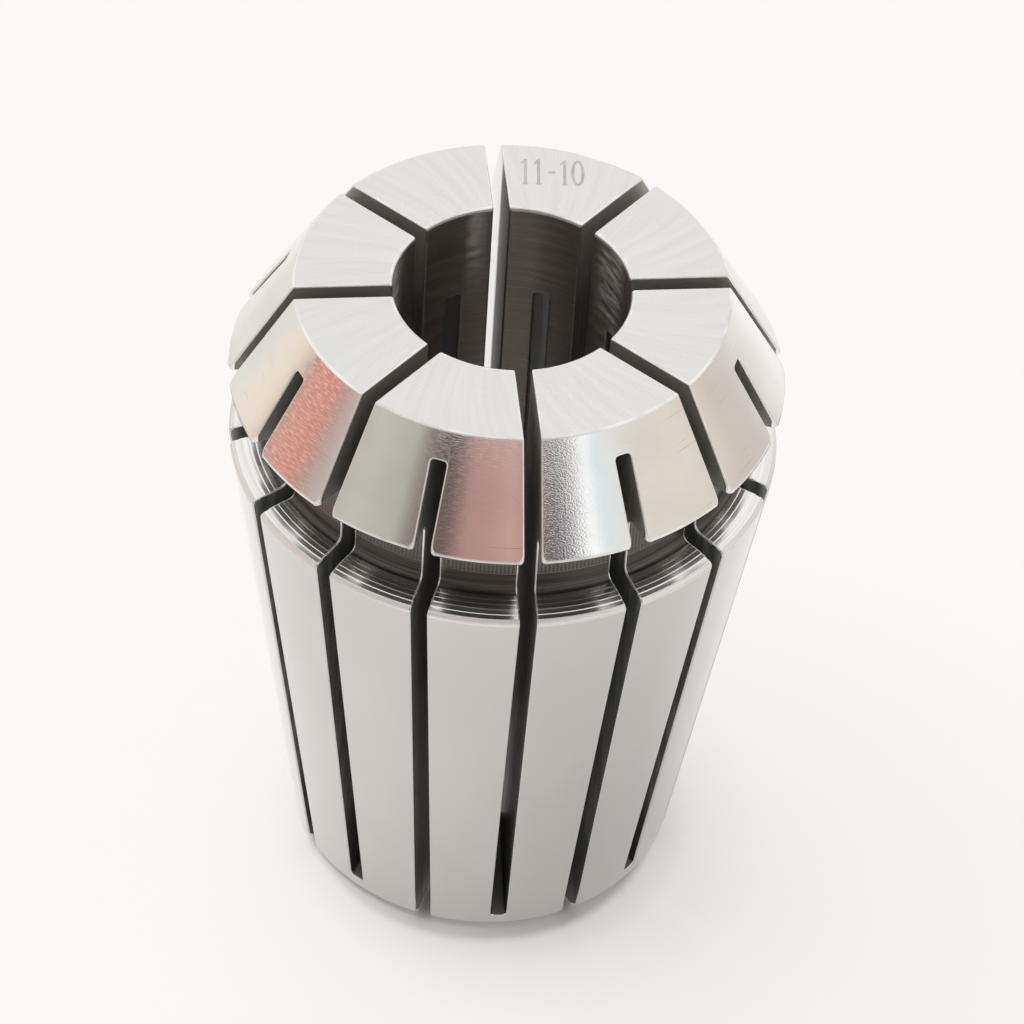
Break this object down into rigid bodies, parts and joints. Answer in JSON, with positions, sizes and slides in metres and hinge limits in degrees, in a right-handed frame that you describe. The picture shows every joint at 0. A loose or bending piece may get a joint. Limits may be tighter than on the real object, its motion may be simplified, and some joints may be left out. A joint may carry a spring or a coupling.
{
  "type": "er collet",
  "caption": "Slit spring collet with a steep nose cone, a narrow extraction groove and a long shallow seat taper around a straight gripping bore.",
  "frame": {"origin": "centre of the tail face, on the axis of the bore", "axes": "+Z along the bore to the nose, with a nose slit on -Y"},
  "size_m": [0.026, 0.026, 0.034],
  "materials": {
    "spring_steel": "hardened spring steel, ground on the tapers, the bore and the nose face, turned in the groove"
  },
  "bodies": {
    "root": {"collet": "spring_steel"}
  },
  "joints": []
}
